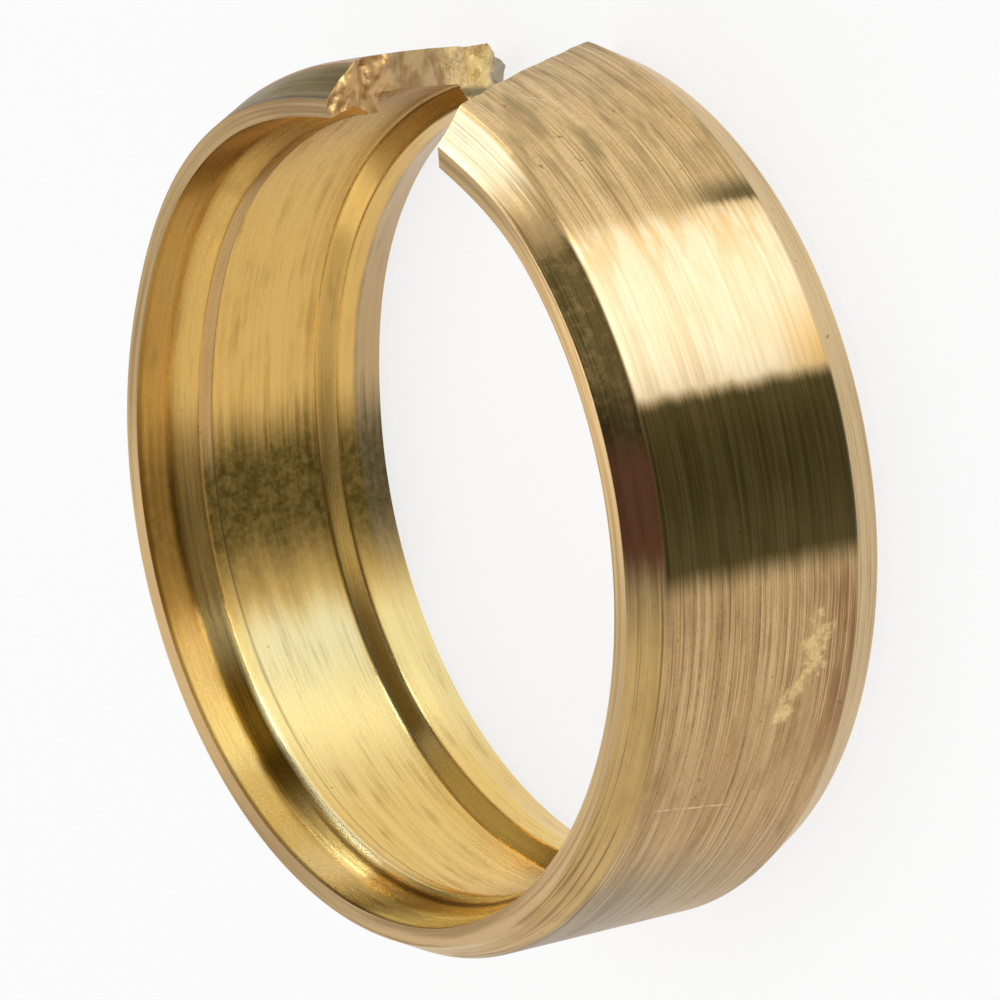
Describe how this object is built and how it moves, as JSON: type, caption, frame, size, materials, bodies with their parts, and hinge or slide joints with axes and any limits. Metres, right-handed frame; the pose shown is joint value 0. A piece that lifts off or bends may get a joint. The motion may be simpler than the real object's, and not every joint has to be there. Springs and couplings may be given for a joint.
{
  "type": "split compression olive",
  "caption": "Split brass olive for a pipe compression joint: bevelled outside, ribbed bore, cut through on a slant.",
  "frame": {"origin": "on the ring's axis, in the plane of the lower end face", "axes": "+Z along the ring's axis, out of the end with the longer plain lip; the cut is centred on +X"},
  "size_m": [0.0184, 0.0184, 0.0062],
  "materials": {
    "turned_brass": "turned, lightly tarnished"
  },
  "bodies": {
    "root": {"split_olive": "turned_brass"}
  },
  "joints": []
}
